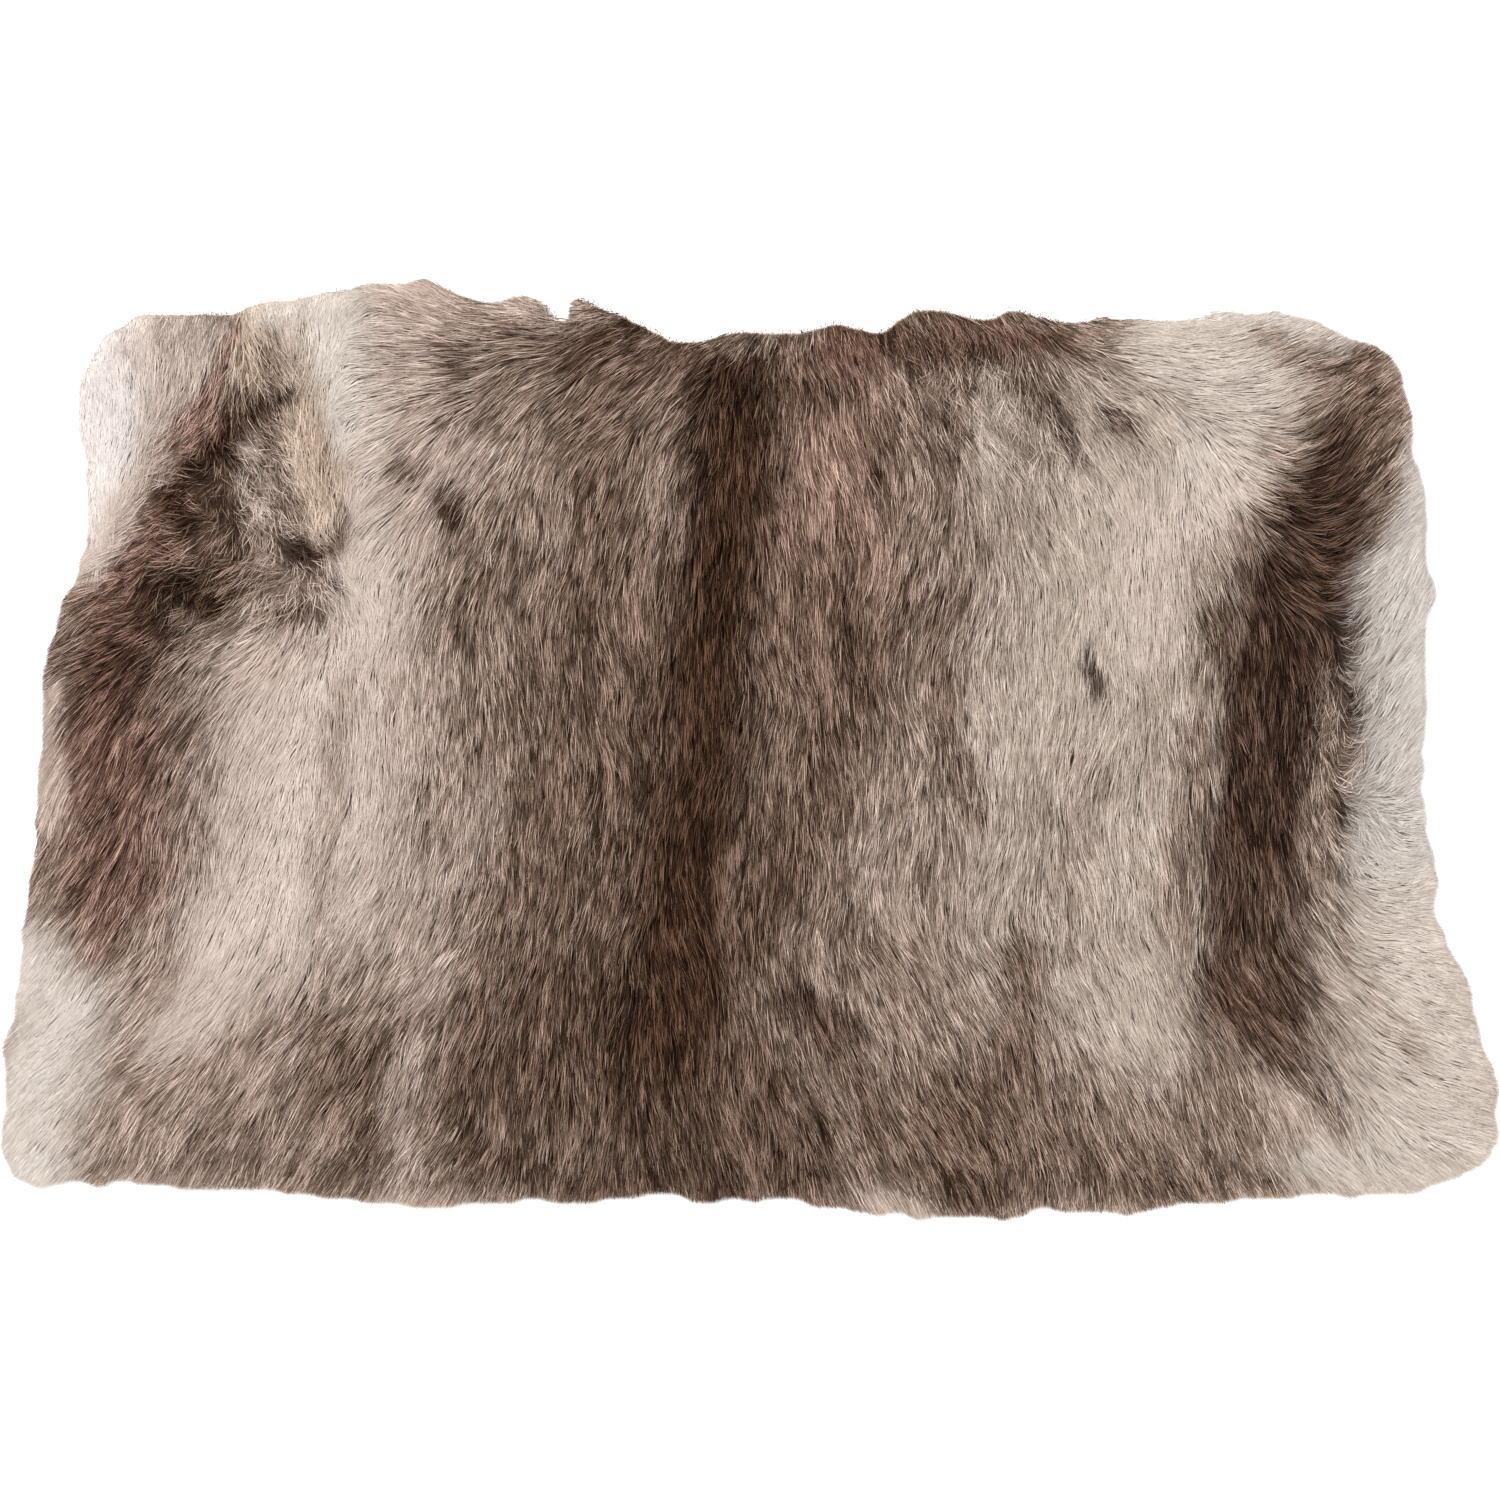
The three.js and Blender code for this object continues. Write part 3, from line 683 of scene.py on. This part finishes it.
class Clumps:
    """Places about spacing apart, towards which the hairs around them draw together."""

    def __init__(self, spacing):
        self.spacing = spacing
        self.columns = int(np.ptp(plan.x) / spacing) + 3
        self.rows = int(np.ptp(plan.y) / spacing) + 3
        self.shift = rng.uniform(-CLUMP_SHIFT, CLUMP_SHIFT, (self.rows, self.columns, 2))
        self.count = self.rows * self.columns

    def nearest(self, places):
        """Number of the clump nearest to each place, and the clump's middle."""
        column, row = ((places - plan.corner) / self.spacing).astype(int).T + 1
        best = np.full(len(places), np.inf)
        number = np.zeros(len(places), dtype=int)
        middle = np.zeros((len(places), 2))
        for down, right in np.ndindex(3, 3):
            c = np.clip(column + right - 1, 0, self.columns - 1)
            r = np.clip(row + down - 1, 0, self.rows - 1)
            cell = np.stack([c, r], axis=1) - 0.5
            spot = (cell + self.shift[r, c]) * self.spacing + plan.corner
            square = ((spot - places) ** 2).sum(axis=1)
            nearer = square < best
            best = np.where(nearer, square, best)
            number = np.where(nearer, r * self.columns + c, number)
            middle = np.where(nearer[:, None], spot, middle)
        return number, middle

    def scatter(self, number, spread):
        """A random value for each clump, given to all of its hairs."""
        return rng.normal(0, spread, self.count)[number]


def scattered(count, inset_low, inset_high):
    """About count scattered places within a range of distance in from the edge."""
    area = ((plan.inset > inset_low) & (plan.inset < inset_high)).sum() * PLAN_STEP ** 2
    spacing = math.sqrt(area / count)
    x, y = np.meshgrid(np.arange(plan.x[0], plan.x[-1], spacing), np.arange(plan.y[0], plan.y[-1], spacing))
    x = (x + rng.uniform(-ROOT_SHIFT, ROOT_SHIFT, x.shape) * spacing).ravel()
    y = (y + rng.uniform(-ROOT_SHIFT, ROOT_SHIFT, y.shape) * spacing).ravel()
    places = np.stack([x, y], axis=1)
    inset = at(plan.inset, places)
    return places[(inset > inset_low) & (inset < inset_high)]


def smooth_step(low, high, value):
    """0 below low, 1 above high and a smooth rise between them."""
    share = np.clip((value - low) / (high - low), 0, 1)
    return share * share * (3 - 2 * share)


def roughness(places):
    """How uneven the hair lies: 1 for dark and tangled hair, less for pale hair."""
    pale = smooth_step(*PALE_RANGE, at(plan.coat, places).mean(axis=1))
    return 1 - PALE_SMOOTHNESS * pale * (1 - at(plan.disorder, places))


def outflow(places):
    """How much the comb runs out over the edge: 1 straight out, -1 straight in."""
    return (at(plan.comb, places) * at(plan.outward, places)).sum(axis=1)


def pile(places):
    """Height of the coat's surface, with its small lumps."""
    return at(plan.height, places) * (1 + LUMP_SHARE * at(plan.lumps, places))


def run_point(root, bend, tip, share):
    """The place at a share of the way from root to tip along a bent hair."""
    first = np.minimum(share / BEND_PLACE, 1)
    second = np.maximum((share - BEND_PLACE) / (1 - BEND_PLACE), 0)
    return root + (bend - root) * first[:, None] + (tip - bend) * second[:, None]


def trimmed(root, bend, tip, slack):
    """Bend and tip of hairs cut where they would run more than slack past the outline."""
    keep = np.ones(len(root))
    cut = np.zeros(len(root), dtype=bool)
    before = at(plan.inset, root)
    for step in range(1, TRIM_STEPS + 1):
        share = np.full(len(root), step / TRIM_STEPS)
        now = at(plan.inset, run_point(root, bend, tip, share))
        crossing = ~cut & (now < -slack)
        part = np.clip((before + slack) / np.maximum(before - now, TINY), 0, 1)
        keep = np.where(crossing, (step - 1 + part) / TRIM_STEPS, keep)
        cut |= crossing
        before = now
    keep = np.maximum(keep, LEAST_LENGTH)
    return run_point(root, bend, tip, keep * BEND_PLACE), run_point(root, bend, tip, keep)


def stack_hair(root, bend, tip, low, middle, high):
    """Root, bend and tip points of hairs as one array."""
    parts = ((root, low), (bend, middle), (tip, high))
    return np.stack([np.column_stack(part) for part in parts], axis=1)


def grow_coat():
    """Root, bend and tip of the hairs all over the hide."""
    root = scattered(HAIR_COUNT, EDGE_INSET, np.inf)
    least_inset = EDGE_INSET + ROOT_INSET * smooth_step(*ROOT_RUN_OUT, outflow(root))
    root = root[at(plan.inset, root) > least_inset]
    count = len(root)
    lock, lock_middle = locks.nearest(root)
    wisp, wisp_middle = wisps.nearest(root)
    upright, disorder = at(plan.upright, root), at(plan.disorder, root)
    turn = locks.scatter(lock, math.radians(HAIR_TURN)) * (1 + CLUMP_TANGLE * disorder)
    turn += wisps.scatter(wisp, math.radians(HAIR_TURN)) * (1 + CLUMP_TANGLE * disorder)
    turn += rng.normal(0, math.radians(HAIR_TURN), count) * (1 + HAIR_TANGLE * disorder)
    turn += rng.normal(0, math.radians(TANGLE_TURN), count) * disorder ** 2
    reach = HAIR_REACH * (1 + locks.scatter(lock, REACH_BY_LOCK)) * rng.uniform(*REACH_RANGE, count)
    reach *= 1 - UPRIGHT_SHORTENING * upright

    way = turned(at(plan.comb, root), turn)
    bend = root + way * (reach * BEND_PLACE)[:, None]
    way_on = turned(at(plan.comb, bend), turn)
    tip = bend + way_on * (reach * (1 - BEND_PLACE))[:, None]

    side = np.stack([-way[:, 1], way[:, 0]], axis=1)
    rough = roughness(root)
    lock_offset = ((root - lock_middle) * side).sum(axis=1) * rough
    wisp_offset = ((root - wisp_middle) * side).sum(axis=1) * rough * (1 - disorder)
    drawn = side * (lock_offset * LOCK_PULL + wisp_offset * WISP_PULL)[:, None]
    bend = bend - drawn * BEND_PULL
    tip = tip - drawn
    sag = LOCK_SAG * np.minimum((lock_offset / (LOCK_SPACING / 2)) ** 2, 1)
    bend, tip = trimmed(root, bend, tip, rng.normal(*TRIM_SLACK, count))

    lift = locks.scatter(lock, LIFTS["lock"]) + wisps.scatter(wisp, LIFTS["wisp"])
    lift += rng.normal(0, LIFTS["hair"], count)
    lift = lift * rough + LIFTS["upright"] * upright - sag
    low = np.maximum(ROOT_SHARE * pile(root), SKIN_THICKNESS)
    middle = np.maximum(BEND_SHARE * pile(bend) + BEND_LIFT * lift, low)
    high = TIP_SHARE * pile(tip) + lift
    high = np.where(at(plan.inset, tip) < EDGE_RANGE, np.minimum(high, middle + EDGE_RISE), high)
    high = np.maximum(high, LOWEST_TIP)
    return stack_hair(root, bend, tip, low, middle, high)


def grow_rim():
    """Root, bend and tip of the hairs that run out over the edge."""
    root = scattered(RIM_HAIR_COUNT, *RIM_ROOTS)
    root = root[outflow(root) > RIM_OUTFLOW]
    count = len(root)
    way = turned(at(plan.comb, root), rng.normal(0, math.radians(RIM_TURN), count))
    bend = root + way * (RIM_REACH * BEND_PLACE)
    tip = root + way * RIM_REACH
    bend, tip = trimmed(root, bend, tip, rng.normal(*TRIM_SLACK, count))
    low = np.maximum(ROOT_SHARE * pile(root), SKIN_THICKNESS)
    middle = np.maximum(RIM_BEND_SHARE * pile(bend), SKIN_THICKNESS)
    middle += rng.normal(0, RIM_BEND_SPREAD, count)
    edge_height = LOWEST_TIP + rng.uniform(0, RIM_TIP_RISE, count)
    high = np.where(at(plan.inset, tip) < RIM_TIP_RANGE, edge_height, TIP_SHARE * pile(tip))
    return stack_hair(root, bend, tip, low, middle, high)


def grow_neck():
    """Root, bend and tip of the short hairs where the coat runs in from its edge."""
    root = scattered(NECK_HAIR_COUNT, *NECK_ROOTS)
    root = root[outflow(root) < NECK_OUTFLOW]
    count = len(root)
    reach = rng.uniform(*NECK_REACH, count)
    way = turned(at(plan.comb, root), rng.normal(0, math.radians(NECK_TURN), count))
    leaning_out = rng.random(count) < NECK_LEANING
    away = turned(at(plan.outward, root), rng.normal(0, math.radians(NECK_LEAN_TURN), count))
    reach = np.where(leaning_out, rng.uniform(*NECK_LEAN_REACH, count), reach)
    way = np.where(leaning_out[:, None], away, way)
    bend = root + way * (reach * BEND_PLACE)[:, None]
    tip = root + way * reach[:, None]
    bend, tip = trimmed(root, bend, tip, rng.normal(*NECK_SLACK, count))
    low = np.full(count, SKIN_THICKNESS * NECK_ROOT_SHARE)
    middle = np.maximum(NECK_BEND_SHARE * pile(bend), low + NECK_LEAST_BEND)
    middle += rng.uniform(0, NECK_BEND_RISE, count)
    high = np.maximum(pile(tip), middle) + rng.uniform(0, NECK_TIP_RISE, count)
    return stack_hair(root, bend, tip, low, middle, high)


def root_light(root):
    """How far the roots lose their darkening, painted shade included, up to 1: they show where the coat
    runs in from its edge.
    """
    inwards = 1 - smooth_step(*NECK_LIGHT_RUN_OUT, outflow(root))
    return NECK_ROOT_LIGHT * inwards * (1 - smooth_step(*NECK_LIGHT_RANGE, at(plan.inset, root)))


def tint_hair(points):
    """Colour of each hair at root, bend and tip, from the markings under its outer half."""
    count = len(points)
    wisp, _ = wisps.nearest(points[:, 0, :2])
    run = unit(points[:, 2, :2] - points[:, 0, :2])
    where = (points[:, 1, :2] + points[:, 2, :2]) / 2 + rng.normal(0, MARK_SCATTER, (count, 2))
    where = where + run * wisps.scatter(wisp, MARK_FINGERS)[:, None]
    where = where + MARK_WANDER * np.stack([at(plan.wander_x, where), at(plan.wander_y, where)], axis=1)
    tone = at(plan.coat, where)
    lightness, spread, *shares = np.array(HAIR_LIFE).T
    light = tone.mean(axis=1)
    unevenness = np.interp(light, lightness, spread)
    shade = SHADE_SHARES["streak"] * at(plan.streaks, where)
    disorder = at(plan.disorder, where)
    shade += SHADE_SHARES["wisp"] * wisps.scatter(wisp, 1) * (1 - TANGLE_WISP_LOSS * disorder)
    shade += SHADE_SHARES["hair"] * rng.normal(0, 1, count) * (1 + TANGLE_HAIR_GAIN * disorder)
    # In tangles whole locks are darkened or lightened at random: the darkened ones are painted shade in the
    # pits between clumps, the lightened ones lighter clumps
    lock, _ = locks.nearest(where)
    shade += SHADE_SHARES["tangle"] * locks.scatter(lock, 1) * disorder
    unevenness = unevenness * (1 + TANGLE_CONTRAST * disorder)
    shade = unevenness * np.clip(shade, *SHADE_LIMITS) - unevenness ** 2 / 2
    parts = []
    # Root, bend and tip take their shares of the tone: the dark root share is partly painted shade deep in
    # the coat, lifted where the roots show
    for share, darkness in zip(shares, (1 - root_light(points[:, 0, :2]), 1, 1)):
        change = shade + np.log(np.interp(light, lightness, share)) * darkness
        parts.append(tone * np.exp(change[:, None] * SHADE_BY_CHANNEL))
    return np.clip(np.stack(parts, axis=1), 0, LIGHTEST)


def strand_arrays(points, radius):
    """Corners and triangles of flat hairs, pointed at both ends."""
    count = len(points)
    tangent = unit(points[:, 2] - points[:, 0])
    side = unit(np.cross(tangent, (0.0, 0.0, 1.0)))
    roll = np.radians(HAIR_ROLL) * rng.uniform(-1, 1, count) * roughness(points[:, 0, :2])
    across = np.cos(roll)[:, None] * side + np.sin(roll)[:, None] * np.cross(side, tangent)
    across *= radius[:, None]
    corners = np.stack([points[:, 0], points[:, 1] - across, points[:, 1] + across, points[:, 2]], axis=1)
    pattern = np.array([(0, 2, 1), (3, 1, 2)])
    triangles = np.arange(count)[:, None, None] * corners.shape[1] + pattern[None]
    return corners.reshape(-1, 3), triangles.reshape(-1, 3)


def strand_map(count):
    """Flat map that gives every hair its own small cell."""
    side = math.ceil(math.sqrt(count))
    root, left, right, tip = (0.5, 0.06), (0.1, 0.48), (0.9, 0.48), (0.5, 0.94)
    cell = np.array([root, right, left, tip, left, right])
    index = np.arange(count)
    corner = np.stack([index % side, index // side], axis=1)[:, None, :]
    return ((corner + cell[None]) / side).reshape(-1, 2)


def new_mesh_object(name, corners, triangles, material, smooth):
    """A mesh object of triangles, its corners in mm."""
    mesh = bpy.data.meshes.new(name)
    mesh.vertices.add(len(corners))
    mesh.vertices.foreach_set("co", np.asarray(corners, dtype=np.float32).ravel() * MM)
    mesh.loops.add(3 * len(triangles))
    mesh.loops.foreach_set("vertex_index", np.asarray(triangles, dtype=np.int32).ravel())
    mesh.polygons.add(len(triangles))
    mesh.polygons.foreach_set("loop_start", np.arange(0, 3 * len(triangles), 3, dtype=np.int32))
    mesh.polygons.foreach_set("use_smooth", np.full(len(triangles), smooth))
    mesh.update(calc_edges=True)
    mesh.validate()
    mesh.materials.append(material)
    piece = bpy.data.objects.new(name, mesh)
    bpy.context.scene.collection.objects.link(piece)
    return piece


def set_colour(mesh, name, colour):
    """Stores a linear colour for each corner point of a mesh."""
    attribute = mesh.color_attributes.new(name, "FLOAT_COLOR", "POINT")
    values = np.column_stack([colour, np.ones(len(colour))]).astype(np.float32)
    attribute.data.foreach_set("color", values.ravel())


def hair_piece(name, points, radius, colour, material):
    """One joined mesh of guard hairs."""
    corners, triangles = strand_arrays(points, radius)
    piece = new_mesh_object(name, corners, triangles, material, smooth=False)
    set_colour(piece.data, "coat", colour[:, [0, 1, 1, 2]].reshape(-1, 3))
    flat = piece.data.uv_layers.new(name="OFBake")
    flat.data.foreach_set("uv", strand_map(len(points)).astype(np.float32).ravel())
    return piece


def skin_outline(node):
    """The flat underside's outline on the frame's solid, as points in mm in order."""
    mesh = node.data
    corners = np.array([vertex.co for vertex in mesh.vertices]) / MM
    places = [tuple(np.round(corner[:2], 2)) for corner in corners]
    links = {}
    for face in mesh.polygons:
        loop = list(face.vertices)
        if corners[loop, 2].max() < FLAT_HEIGHT:
            for here, there in zip(loop, loop[1:] + loop[:1]):
                links.setdefault(places[here], set()).add(places[there])
    pairs = [(start, end) for start, ends in links.items() for end in ends]
    following = {start: end for start, end in pairs if start not in links.get(end, ())}
    start = next(iter(following))
    outline = [start]
    while following[outline[-1]] != start:
        outline.append(following[outline[-1]])
    return np.array(outline[::-1])


def skin_line(outline, further):
    """The outline smoothed and moved in to the skin's edge, and further."""
    for _ in range(2):
        outline = (np.roll(outline, 1, axis=0) + 2 * outline + np.roll(outline, -1, axis=0)) / 4
    for _ in range(2):
        outline = np.stack([outline, (outline + np.roll(outline, -1, axis=0)) / 2], axis=1).reshape(-1, 2)
    wanted = NECK_SKIN_INSET + SKIN_INSET * smooth_step(*SKIN_RUN_OUT, outflow(outline)) + further
    wanted += NOTCH_SKIN_INSET * at(plan.notched, outline)
    for _ in range(3):
        outline = outline + at(plan.outward, outline) * (at(plan.rim, outline) - wanted)[:, None]
    return outline


def slab(outline, spacing, top, bottom):
    """A closed body on an outline, with an uneven top and a flat bottom."""
    count = len(outline)
    box = zip(outline.min(axis=0), outline.max(axis=0))
    grid = np.stack(np.meshgrid(*[np.arange(*ends, spacing) for ends in box]), axis=2).reshape(-1, 2)
    grid = grid + rng.uniform(-GRID_SHIFT, GRID_SHIFT, grid.shape) * spacing
    grid = grid[at(plan.inset, grid) > NECK_SKIN_INSET + SKIN_INSET + spacing * GRID_GAP]
    ring = list(range(count))
    places = [Vector(point) for point in np.vstack([outline, grid])]
    flat, _, faces = delaunay_2d_cdt(places, [], [ring], 1, TINY)[:3]
    base_faces = delaunay_2d_cdt(places[:count], [], [ring], 1, TINY)[2]
    flat = np.array([tuple(point) for point in flat])
    upper = np.column_stack([flat, top(flat)])
    lower = np.column_stack([outline, np.full(count, bottom)])
    triangles = [tuple(face) for face in faces]
    triangles += [tuple(len(upper) + corner for corner in reversed(face)) for face in base_faces]
    for here in ring:
        there = (here + 1) % count
        triangles += [(len(upper) + here, len(upper) + there, there), (len(upper) + here, there, here)]
    return np.vstack([upper, lower]), triangles


def wool_top(places):
    """Height of the under coat, a share of the coat's own."""
    share = WOOL_SHARE * smooth_step(0, WOOL_TAPER, at(plan.inset, places))
    return np.maximum(share * at(plan.height, places), SKIN_THICKNESS + WOOL_LEAST)


def new_material(name, roughness):
    """A material with its node tree and its principled shader."""
    material = bpy.data.materials.new(name)
    material.use_nodes = True
    tree = material.node_tree
    shader = tree.nodes["Principled BSDF"]
    shader.inputs["Roughness"].default_value = roughness
    return material, tree, shader


def add_node(tree, kind, **inputs):
    """A new shader node, with values for some of its inputs."""
    node = tree.nodes.new("ShaderNode" + kind)
    for name, value in inputs.items():
        node.inputs[name].default_value = value
    return node


def add_noise(tree, scale, detail):
    """Noise laid out in the piece's own space."""
    noise = add_node(tree, "TexNoise", Scale=scale, Detail=detail)
    place = add_node(tree, "TexCoord")
    tree.links.new(place.outputs["Object"], noise.inputs["Vector"])
    return noise


def add_ramp(tree, noise, *stops):
    """Colours by the strength of a noise, between two stops of (strength, colour)."""
    ramp = add_node(tree, "ValToRGB")
    for element, (strength, colour) in zip(ramp.color_ramp.elements, stops):
        element.position = strength
        element.color = (*colour, 1)
    tree.links.new(noise.outputs["Fac"], ramp.inputs["Fac"])
    return ramp


def add_bump(tree, shader, noise, strength, distance):
    """Small relief on a shader, after a noise."""
    bump = add_node(tree, "Bump", Strength=strength, Distance=distance)
    tree.links.new(noise.outputs["Fac"], bump.inputs["Height"])
    tree.links.new(bump.outputs["Normal"], shader.inputs["Normal"])


def show_coat(tree, shader, mottling, share):
    """Colours a shader by its mesh's coat colours and a share of mottling."""
    coat = add_node(tree, "Attribute")
    coat.attribute_name = "coat"
    shade = add_node(tree, "Mix")
    shade.data_type = "RGBA"
    shade.blend_type = "MULTIPLY"
    shade.inputs["Factor"].default_value = share
    tree.links.new(coat.outputs["Color"], shade.inputs["A"])
    tree.links.new(mottling.outputs["Color"], shade.inputs["B"])
    tree.links.new(shade.outputs["Result"], shader.inputs["Base Color"])


def hair_material():
    """Guard hair: the coat's colour with fine flecks and a faint soft sheen."""
    material, tree, shader = new_material("guard_hair", roughness=0.6)
    noise = add_noise(tree, scale=500, detail=2)
    flecks = add_ramp(tree, noise, (0.3, (0.90, 0.89, 0.88)), (0.6, (1, 1, 1)))
    show_coat(tree, shader, flecks, share=1)
    shader.inputs["Specular IOR Level"].default_value = 0.04
    return material


def wool_material():
    """Under coat: darkened with painted shade deep between the hairs, matt and mottled."""
    material, tree, shader = new_material("under_coat_wool", roughness=1)
    noise = add_noise(tree, scale=900, detail=4)
    show_coat(tree, shader, noise, share=0.3)
    add_bump(tree, shader, noise, strength=0.8, distance=0.001)
    return material


def skin_material():
    """Tanned flesh side: pale buff suede with darker clouds and a fine nap."""
    material, tree, shader = new_material("tanned_skin", roughness=0.9)
    noise = add_noise(tree, scale=14, detail=6)
    clouds = add_ramp(tree, noise, (0.3, (0.42, 0.30, 0.20)), (0.7, (0.66, 0.54, 0.42)))
    tree.links.new(clouds.outputs["Color"], shader.inputs["Base Color"])
    add_bump(tree, shader, add_noise(tree, scale=700, detail=3), strength=0.5, distance=0.0005)
    return material


def add_area_light(name, place, size, power):
    """A soft square light aimed at the middle of the pad."""
    data = bpy.data.lights.new(name, "AREA")
    data.size = size * MM
    data.energy = power
    light = bpy.data.objects.new(name, data)
    light.location = Vector(place) * MM
    light.rotation_euler = (-Vector(place)).to_track_quat("-Z", "Y").to_euler()
    bpy.context.scene.collection.objects.link(light)


def add_stage():
    """Pale floor, soft studio light and the camera straight above."""
    scene = bpy.context.scene
    half, below = FLOOR_HALF * MM, -FLOOR_DROP * MM
    square = [(-half, -half, below), (half, -half, below), (half, half, below), (-half, half, below)]
    mesh = bpy.data.meshes.new("floor")
    mesh.from_pydata(square, [], [(0, 1, 2, 3)])
    material, _, shader = new_material("pale_floor", roughness=0.9)
    shader.inputs["Base Color"].default_value = FLOOR_TONE
    mesh.materials.append(material)
    floor = bpy.data.objects.new("floor", mesh)
    scene.collection.objects.link(floor)

    world = bpy.data.worlds.new("studio")
    world.use_nodes = True
    sky = world.node_tree.nodes["Background"]
    sky.inputs["Color"].default_value = (1, 1, 1, 1)
    sky.inputs["Strength"].default_value = SKY_STRENGTH
    scene.world = world
    for name, light in LIGHTS.items():
        add_area_light(name, *light)
    scene.cycles.diffuse_bounces = 3
    scene.cycles.glossy_bounces = 1
    scene.cycles.debug_use_spatial_splits = True
    scene.cycles.denoising_prefilter = "NONE"
    scene.view_settings.view_transform = "Standard"

    data = bpy.data.cameras.new("camera")
    data.sensor_width = SENSOR_WIDTH
    data.lens = SENSOR_WIDTH * (CAMERA_HEIGHT - SHARP_HEIGHT) / PICTURE_WIDTH
    camera = bpy.data.objects.new("camera", data)
    camera.location = (0, 0, CAMERA_HEIGHT * MM)
    scene.collection.objects.link(camera)
    scene.camera = camera


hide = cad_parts["hide"]
plan = Plan(cad_box)
read_solid(hide)
lay_comb()
paint_markings()
set_tufts()
plan.streaks = streaks(**STREAKS)
plan.lumps = streaks(**LUMPS)
plan.wander_x = drift(WANDER_SPREAD)
plan.wander_y = drift(WANDER_SPREAD)

add_stage()

outline = skin_outline(hide)
skin_edge = skin_line(outline, 0)
skin_corners, skin_faces = slab(
    skin_edge, SKIN_SPACING, lambda places: np.full(len(places), SKIN_THICKNESS), 0.0)
skin = new_mesh_object("skin", skin_corners, skin_faces, skin_material(), smooth=False)

wool_edge = skin_line(outline, WOOL_INSET)
wool_corners, wool_faces = slab(wool_edge, WOOL_SPACING, wool_top, SKIN_THICKNESS + WOOL_BOTTOM)
wool = new_mesh_object("under_coat", wool_corners, wool_faces, wool_material(), smooth=True)
# The under coat takes a darker share of the coat's tone: painted shade deep between the hairs
wool_tone = at(plan.coat, wool_corners[:, :2])
wool_shade_share = np.interp(wool_tone.mean(axis=1), WOOL_LIGHTNESS, WOOL_TONE_SHARES)
set_colour(wool.data, "coat", wool_tone * wool_shade_share[:, None] ** SHADE_BY_CHANNEL)

locks = Clumps(LOCK_SPACING)
wisps = Clumps(WISP_SPACING)
points = np.concatenate([grow_coat(), grow_rim(), grow_neck()])
radius = HAIR_RADIUS * rng.uniform(*RADIUS_RANGE, len(points))
radius *= 1 - TANGLE_FINENESS * at(plan.disorder, points[:, 0, :2])
colour = tint_hair(points)
fur_material = hair_material()
order = np.argsort(points[:, 0, 0], kind="stable")
fur = []
for name, chosen in zip(PIECE_NAMES, np.array_split(order, len(PIECE_NAMES))):
    fur.append(hair_piece(name, points[chosen], radius[chosen], colour[chosen], fur_material))

for piece in [skin, wool] + fur:
    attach(piece, "root")
    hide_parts("hide")
